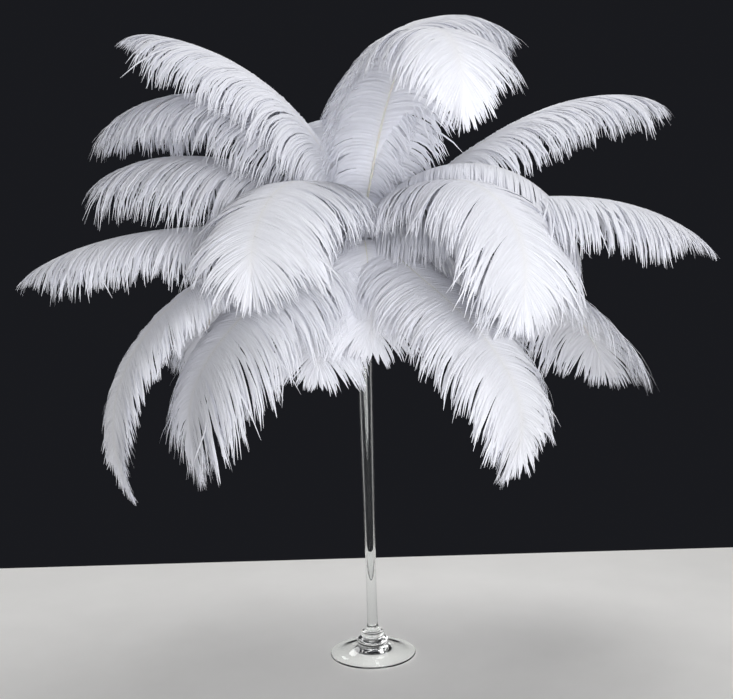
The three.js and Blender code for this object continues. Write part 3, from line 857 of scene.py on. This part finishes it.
def line_mesh(name, shaft, halves):
    """A mesh of loose edges: the shaft's middle line and every barb's, with their widths."""
    along = np.concatenate([[0, 0.6 * MM, 1.6 * MM], np.linspace(6 * MM, shaft.length, 64)])
    place, _, _, face = shaft.at(along)
    shaft_width = shaft.radius(along) * np.where(along < 0.1 * MM, 0.45, 1)
    shaft_width[1] *= 0.86
    shaft_fibre = np.stack([along, 0 * along, 0 * along], 1)
    groups = [(place[None], face[None], shaft_width[None], shaft_fibre[None])] + halves
    points = np.concatenate([group[0].reshape(-1, 3) for group in groups])
    outward = np.concatenate([group[1].reshape(-1, 3) for group in groups])
    width = np.concatenate([group[2].reshape(-1) for group in groups])
    fibre = np.concatenate([group[3].reshape(-1, 3) for group in groups])
    edges, start = [], 0
    for group in groups:
        rows, steps = group[0].shape[:2]
        index = start + np.arange(rows * steps).reshape(rows, steps)
        edges.append(np.stack([index[:, :-1], index[:, 1:]], -1).reshape(-1, 2))
        start += rows * steps
    edges = np.concatenate(edges)
    mesh = bpy.data.meshes.new(name)
    mesh.vertices.add(len(points))
    mesh.edges.add(len(edges))
    mesh.vertices.foreach_set("co", points.astype(np.float32).ravel())
    mesh.edges.foreach_set("vertices", edges.astype(np.int32).ravel())
    on_shaft = np.arange(len(points)) < len(along)
    for title, kind, field, values in (
        ("outward", "FLOAT_VECTOR", "vector", outward), ("width", "FLOAT", "value", width),
        ("fibre", "FLOAT_VECTOR", "vector", fibre), ("on_shaft", "BOOLEAN", "value", on_shaft),
    ):
        attribute = mesh.attributes.new(title, kind, "POINT")
        attribute.data.foreach_set(field, np.ascontiguousarray(values).ravel())
    mesh.update()
    return mesh


def grown_mesh(name, lines, tree, inputs):
    """Runs the feather's node group on its middle lines and keeps the plain mesh."""
    source = bpy.data.objects.new(name + "_lines", lines)
    bpy.context.scene.collection.objects.link(source)
    modifier = source.modifiers.new("Feather", "NODES")
    modifier.node_group = tree
    identifiers = {
        item.name: item.identifier for item in tree.interface.items_tree
        if item.item_type == "SOCKET" and item.in_out == "INPUT"
    }
    for title, value in inputs.items():
        modifier[identifiers[title]] = value
    graph = bpy.context.evaluated_depsgraph_get()
    mesh = bpy.data.meshes.new_from_object(
        source.evaluated_get(graph), preserve_all_data_layers=True, depsgraph=graph)
    source.modifiers.remove(modifier)
    bpy.data.objects.remove(source)
    mesh.name = name
    for title in ("outward", "width", "on_shaft", "outline_corner"):
        if title in mesh.attributes:
            mesh.attributes.remove(mesh.attributes[title])
    return mesh


def shared(collection, name, make):
    """The data block of this name, made the first time that it is asked for."""
    return collection.get(name) or make()


class SPRAY_OT_plumes(bpy.types.Operator):
    """Make the plumes of one ring of quills, each with its quill, shaft and barbs"""

    bl_idname = "spray.plumes"
    bl_label = "Ostrich Plumes"

    ring: EnumProperty(
        name="Ring", description="Which ring of quills in the vase's throat",
        items=[
            ("LOWER", "Lower", "Plumes that hang round the vase"),
            ("MIDDLE", "Middle", "Plumes that arch over the lower ones"),
            ("UPPER", "Upper", "Plumes that stand up and out of the middle"),
        ],
    )

    def execute(self, context):
        scene = context.scene
        sizes = scene.spray_plumes
        streaks = shared(bpy.data.node_groups, "Fibre Streaks", fibre_group)
        tree = shared(bpy.data.node_groups, "Feather From Centre Lines", feather_tree)
        inputs = {
            "Barb Thickness": sizes.thickness,
            "Shaft Sides": 8,
            "Barb Finish": shared(
                bpy.data.materials, "white_down", lambda: white_down(sizes, streaks)),
            "Shaft Finish": shared(
                bpy.data.materials, "ivory_quill", lambda: ivory_quill(sizes, streaks)),
        }
        names = sorted(name for ring in RINGS.values() for name in ring["plumes"])
        for node, plume in RINGS[self.ring]["plumes"].items():
            rng = np.random.default_rng(sizes.seed * 100 + names.index(node))
            shaft = Shaft(self.ring, plume, scene.spray_vase.height)
            halves = []
            for side in (1, -1):
                lines, *rest = barbs_on_side(shaft, side, sizes, rng)
                halves.append((clear_of_vase(lines, scene.spray_vase), *rest))
            lines = line_mesh(node + "_lines", shaft, halves)
            mesh = grown_mesh(node + "_feather", lines, tree, inputs)
            piece = bpy.data.objects.new(node + "_feather", mesh)
            scene.collection.objects.link(piece)
            finish_piece(piece, node)
        return {"FINISHED"}


# ---------------------------------------------------------------- stage


def soft_light(name, place, target, size, power):
    """A round lamp that lights the scene and is not itself seen."""
    light = bpy.data.lights.new(name, "AREA")
    light.shape = "DISK"
    light.size = size
    light.energy = power
    lamp = bpy.data.objects.new(name, light)
    lamp.location = place
    lamp.rotation_euler = (Vector(target) - Vector(place)).to_track_quat("-Z", "Y").to_euler()
    lamp.visible_camera = False
    bpy.context.scene.collection.objects.link(lamp)


class SPRAY_OT_stage(bpy.types.Operator):
    """Make the floor, the soft lights, the dark surroundings and the camera"""

    bl_idname = "spray.stage"
    bl_label = "Studio Stage"

    def execute(self, context):
        scene = context.scene
        settings = scene.spray_stage
        floor = bpy.data.meshes.new("floor")
        left, right, front, back, level = -3.0, 3.0, -1.4, 0.47, -0.3 * MM
        floor.from_pydata(
            [(left, front, level), (right, front, level), (right, back, level),
             (left, back, level)], [], [(0, 1, 2, 3)])
        floor.materials.append(matt_floor(settings.floor))
        ground = bpy.data.objects.new("floor", floor)
        scene.collection.objects.link(ground)

        middle = SPRAY_MIDDLE
        soft_light("key_light", (1.6, -1.9, 1.9), middle, 1.6, settings.key)
        soft_light("front_light", (0.7, -3.0, 0.75), middle, 2.6, settings.front)
        soft_light("fill_light", (-1.3, -2.3, 0.35), middle, 2.0, 0.6 * settings.fill)
        soft_light("back_light", (-1.7, 2.4, 1.9), middle, 1.8, settings.back)
        soft_light("top_light", (0.4, 0.9, 2.6), middle, 1.6, settings.fill)
        for side in (-1, 1):
            soft_light("edge_light", (1.6 * side, 0.95, 0.1), (0, 0, 0.3), 0.9, settings.edge)

        world = bpy.data.worlds.new("surroundings")
        world.use_nodes = True
        world.node_tree.nodes["Background"].inputs["Color"].default_value = (*settings.dusk, 1)
        scene.world = world

        lens = bpy.data.cameras.new("camera")
        lens.lens = settings.lens
        lens.sensor_width = 36
        camera = bpy.data.objects.new("camera", lens)
        aim = Matrix.Rotation(math.radians(90 - CAMERA_DIP), 4, "X")
        roll = Matrix.Rotation(math.radians(CAMERA_ROLL), 4, "Z")
        camera.matrix_world = Matrix.Translation(CAMERA_PLACE) @ aim @ roll
        scene.collection.objects.link(camera)
        scene.camera = camera
        scene.view_settings.view_transform = "Standard"
        return {"FINISHED"}


class SPRAY_PT_panel(bpy.types.Panel):
    """Sizes and steps of the plume spray"""

    bl_idname = "SPRAY_PT_panel"
    bl_label = "Plume Spray"
    bl_space_type = "VIEW_3D"
    bl_region_type = "UI"
    bl_category = "Plume Spray"

    def draw(self, context):
        layout = self.layout
        for title, group in (
            ("Vase", context.scene.spray_vase),
            ("Plumes", context.scene.spray_plumes),
            ("Stage", context.scene.spray_stage),
        ):
            box = layout.box()
            box.label(text=title)
            for name in group.__annotations__:
                box.prop(group, name)
        layout.operator(SPRAY_OT_vase.bl_idname)
        for ring in ("LOWER", "MIDDLE", "UPPER"):
            layout.operator(SPRAY_OT_plumes.bl_idname, text=ring.title() + " Plumes").ring = ring
        layout.operator(SPRAY_OT_stage.bl_idname)


CLASSES = (
    SprayVaseSizes, SprayPlumeSizes, SprayStageSettings,
    SPRAY_OT_vase, SPRAY_OT_plumes, SPRAY_OT_stage, SPRAY_PT_panel,
)


def register():
    for cls in CLASSES:
        bpy.utils.register_class(cls)
    bpy.types.Scene.spray_vase = PointerProperty(type=SprayVaseSizes)
    bpy.types.Scene.spray_plumes = PointerProperty(type=SprayPlumeSizes)
    bpy.types.Scene.spray_stage = PointerProperty(type=SprayStageSettings)


def unregister():
    del bpy.types.Scene.spray_stage
    del bpy.types.Scene.spray_plumes
    del bpy.types.Scene.spray_vase
    for cls in reversed(CLASSES):
        bpy.utils.unregister_class(cls)


def main():
    register()
    bpy.ops.spray.vase()
    for ring in ("LOWER", "MIDDLE", "UPPER"):
        bpy.ops.spray.plumes(ring=ring)
    bpy.ops.spray.stage()


if __name__ == "__main__":
    main()
